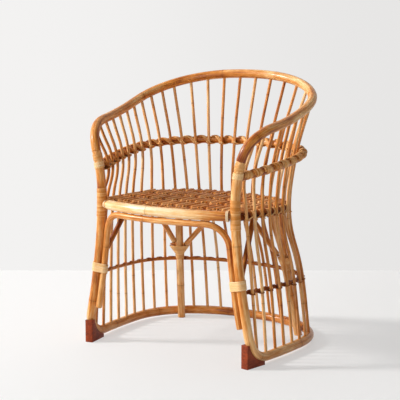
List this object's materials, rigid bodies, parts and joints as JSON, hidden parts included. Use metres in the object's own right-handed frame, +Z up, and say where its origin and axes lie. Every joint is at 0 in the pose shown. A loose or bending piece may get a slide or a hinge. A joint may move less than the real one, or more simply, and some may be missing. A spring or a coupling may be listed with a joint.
{
  "type": "rattan armchair",
  "caption": "Barrel-backed rattan armchair: a bent pole frame with slender spindles round the back and arms, a woven seat, a front arch and wooden front feet.",
  "frame": {"origin": "on the floor, under the middle of the chair's box", "axes": "+Z up, the chair's front faces -Y, +X to the right as seen from the front"},
  "size_m": [0.634, 0.566, 0.81],
  "materials": {
    "rattan_pole": "clear satin varnish over peeled honey rattan",
    "rattan_spindle": "clear satin varnish over slender rattan",
    "rattan_hoop": "stained rattan under clear varnish",
    "cane_binding": "pale split cane, satin",
    "woven_seat": "reddish-brown woven cane, satin",
    "hardwood_foot": "reddish-brown stained hardwood, satin",
    "hardwood_dowel": "plain hardwood",
    "steel_screw": "bright zinc"
  },
  "bodies": {
    "root": {"arch_binding_left": "cane_binding", "arch_binding_right": "cane_binding", "arm_dowels": "hardwood_dowel", "back_brace_left": "rattan_pole", "back_brace_right": "rattan_pole", "foot_block_left": "hardwood_foot", "foot_block_right": "hardwood_foot", "foot_screws": "steel_screw", "fore_brace_left": "rattan_pole", "fore_brace_right": "rattan_pole", "frame_pole": "rattan_pole", "front_arch": "rattan_pole", "hoop_lashings": "cane_binding", "leg_binding_left": "cane_binding", "leg_binding_right": "cane_binding", "lower_hoop": "rattan_hoop", "mid_hoop": "rattan_hoop", "post_brace_left": "rattan_pole", "post_brace_right": "rattan_pole", "rail_binding_left": "cane_binding", "rail_binding_right": "cane_binding", "rear_leg_left": "rattan_pole", "rear_leg_right": "rattan_pole", "seat_bearer": "rattan_pole", "seat_binding_left": "cane_binding", "seat_binding_right": "cane_binding", "seat_front_rail": "rattan_pole", "seat_ring": "rattan_hoop", "spindle_01_left": "rattan_spindle", "spindle_01_right": "rattan_spindle", "spindle_02_left": "rattan_spindle", "spindle_02_right": "rattan_spindle", "spindle_03_left": "rattan_spindle", "spindle_03_right": "rattan_spindle", "spindle_04_left": "rattan_spindle", "spindle_04_right": "rattan_spindle", "spindle_05_left": "rattan_spindle", "spindle_05_right": "rattan_spindle", "spindle_06_left": "rattan_spindle", "spindle_06_right": "rattan_spindle", "spindle_07_left": "rattan_spindle", "spindle_07_right": "rattan_spindle", "spindle_08_left": "rattan_spindle", "spindle_08_right": "rattan_spindle", "spindle_09_left": "rattan_spindle", "spindle_09_right": "rattan_spindle", "spindle_10_left": "rattan_spindle", "spindle_10_right": "rattan_spindle", "spindle_11_left": "rattan_spindle", "spindle_11_right": "rattan_spindle", "spindle_12_left": "rattan_spindle", "spindle_12_right": "rattan_spindle", "spindle_13_left": "rattan_spindle", "spindle_13_right": "rattan_spindle", "spindle_14_left": "rattan_spindle", "spindle_14_right": "rattan_spindle", "spindle_15_left": "rattan_spindle", "spindle_15_right": "rattan_spindle", "top_rail": "rattan_pole", "woven_seat": "woven_seat"}
  },
  "joints": []
}
